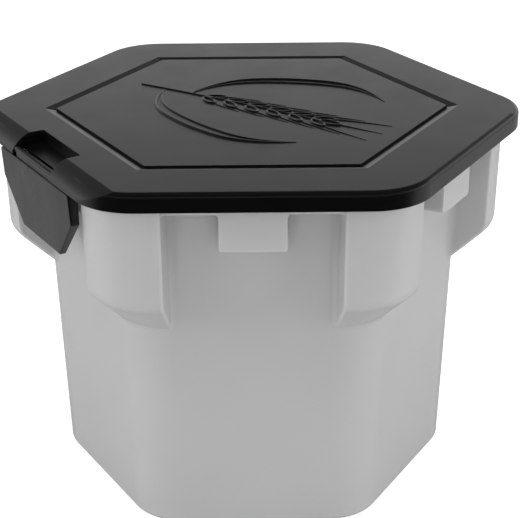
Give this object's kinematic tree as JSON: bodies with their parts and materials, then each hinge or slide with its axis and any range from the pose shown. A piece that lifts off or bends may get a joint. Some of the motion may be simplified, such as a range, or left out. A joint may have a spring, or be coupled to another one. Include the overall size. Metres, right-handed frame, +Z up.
{
  "type": "plastic fermenting bucket",
  "caption": "Hexagonal plastic fermenting bucket with a lobed collar, a lift-off lid with a seal, and one hinged side latch.",
  "frame": {"origin": "centre of the bucket's base, on the surface it stands on", "axes": "+Z up; two flats of the hexagon face -Y (front) and +Y; corners on +X and -X; the latch is on the flat that faces -150 degrees from +X"},
  "size_m": [0.3352, 0.3008, 0.234],
  "materials": {
    "bucket_plastic": "moulded translucent grey polypropylene, satin gloss",
    "lid_plastic": "moulded black polypropylene with a fine texture",
    "seal_rubber": "soft white silicone",
    "latch_plastic": "moulded black polypropylene, satin",
    "pin_steel": "drawn stainless wire"
  },
  "bodies": {
    "bucket": {"bucket": "bucket_plastic"},
    "lid": {"lid": "lid_plastic", "lid_seal": "seal_rubber", "latch_pin": "pin_steel"},
    "latch": {"latch": "latch_plastic"}
  },
  "joints": [
    {"name": "lid_lift", "type": "slide", "parent": "bucket", "child": "lid", "axis": [0, 0, 1], "range_m": [0, 0.12]},
    {"name": "latch_hinge", "type": "hinge", "parent": "lid", "child": "latch", "pos_m": [-0.12748, -0.0736, 0.2252], "axis": [-0.5, 0.866, 0], "range_deg": [0, 112]}
  ]
}
